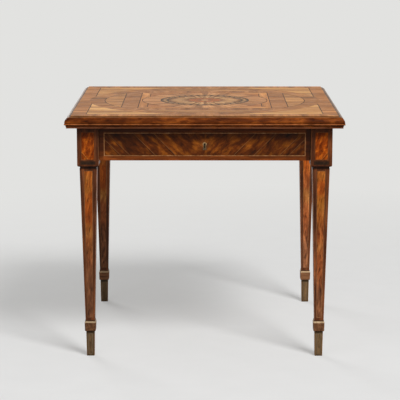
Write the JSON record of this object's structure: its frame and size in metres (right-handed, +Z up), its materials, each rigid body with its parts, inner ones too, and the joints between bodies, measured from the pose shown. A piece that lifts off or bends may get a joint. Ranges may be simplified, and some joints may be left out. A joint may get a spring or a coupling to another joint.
{
  "type": "games table",
  "caption": "Square walnut games table with a moulded marquetry top, inlaid tapered legs with collars and a locking frieze drawer.",
  "frame": {"origin": "on the floor under the middle of the top", "axes": "+Z up, -Y out through the drawer front, +X to the right of a person facing the drawer"},
  "size_m": [0.85, 0.85, 0.76],
  "materials": {
    "walnut": "french polished",
    "figured_veneer": "french polished",
    "light_stringing": "french polished",
    "dark_stringing": "french polished",
    "border_veneer": "french polished",
    "corner_veneer": "french polished",
    "ring_veneer": "french polished",
    "segment_veneer": "french polished",
    "band_veneer": "french polished",
    "medallion_veneer": "french polished",
    "secondary_wood": "bare",
    "lock_iron": "aged",
    "brass": "aged"
  },
  "bodies": {
    "table_frame": {"apron_back": "walnut", "apron_left": "walnut", "apron_panels": "figured_veneer", "apron_right": "walnut", "apron_stringing": "light_stringing", "drawer_guide_left": "secondary_wood", "drawer_guide_right": "secondary_wood", "drawer_kicker_left": "secondary_wood", "drawer_kicker_right": "secondary_wood", "drawer_runner_left": "secondary_wood", "drawer_runner_right": "secondary_wood", "front_rail_lower": "secondary_wood", "front_rail_upper": "secondary_wood", "glue_blocks": "secondary_wood", "leg_back_left": "walnut", "leg_back_right": "walnut", "leg_collar_back_left": "walnut", "leg_collar_back_right": "walnut", "leg_collar_front_left": "walnut", "leg_collar_front_right": "walnut", "leg_front_left": "walnut", "leg_front_right": "walnut", "leg_panels_back_left": "figured_veneer", "leg_panels_back_right": "figured_veneer", "leg_panels_front_left": "figured_veneer", "leg_panels_front_right": "figured_veneer", "leg_stringing_back_left": "light_stringing", "leg_stringing_back_right": "light_stringing", "leg_stringing_front_left": "light_stringing", "leg_stringing_front_right": "light_stringing", "top_band_veneer": "band_veneer", "top_border_veneer": "border_veneer", "top_centre_border_veneer": "corner_veneer", "top_centre_corner_veneer": "border_veneer", "top_core_boards": "secondary_wood", "top_corner_veneer": "corner_veneer", "top_frame_back": "walnut", "top_frame_front": "walnut", "top_frame_left": "walnut", "top_frame_right": "walnut", "top_medallion": "medallion_veneer", "top_medallion_ring": "segment_veneer", "top_ring_veneer": "ring_veneer", "top_screws": "lock_iron", "top_segment_veneer": "segment_veneer", "top_stringing": "dark_stringing"},
    "drawer": {"drawer_front": "walnut", "drawer_panels": "figured_veneer", "drawer_stringing": "light_stringing", "keyhole_escutcheon": "brass", "drawer_side_left": "secondary_wood", "drawer_side_right": "secondary_wood", "drawer_back": "secondary_wood", "drawer_bottom": "secondary_wood", "lock_plate": "lock_iron", "lock_cap": "lock_iron", "lock_spring": "lock_iron", "lock_screws": "lock_iron"},
    "bolt": {"lock_bolt": "lock_iron"}
  },
  "joints": [
    {"name": "drawer_slide", "type": "slide", "parent": "table_frame", "child": "drawer", "axis": [0, -1, 0], "range_m": [0, 0.42]},
    {"name": "bolt_slide", "type": "slide", "parent": "drawer", "child": "bolt", "axis": [0, 0, 1], "range_m": [0, 0.008]}
  ]
}
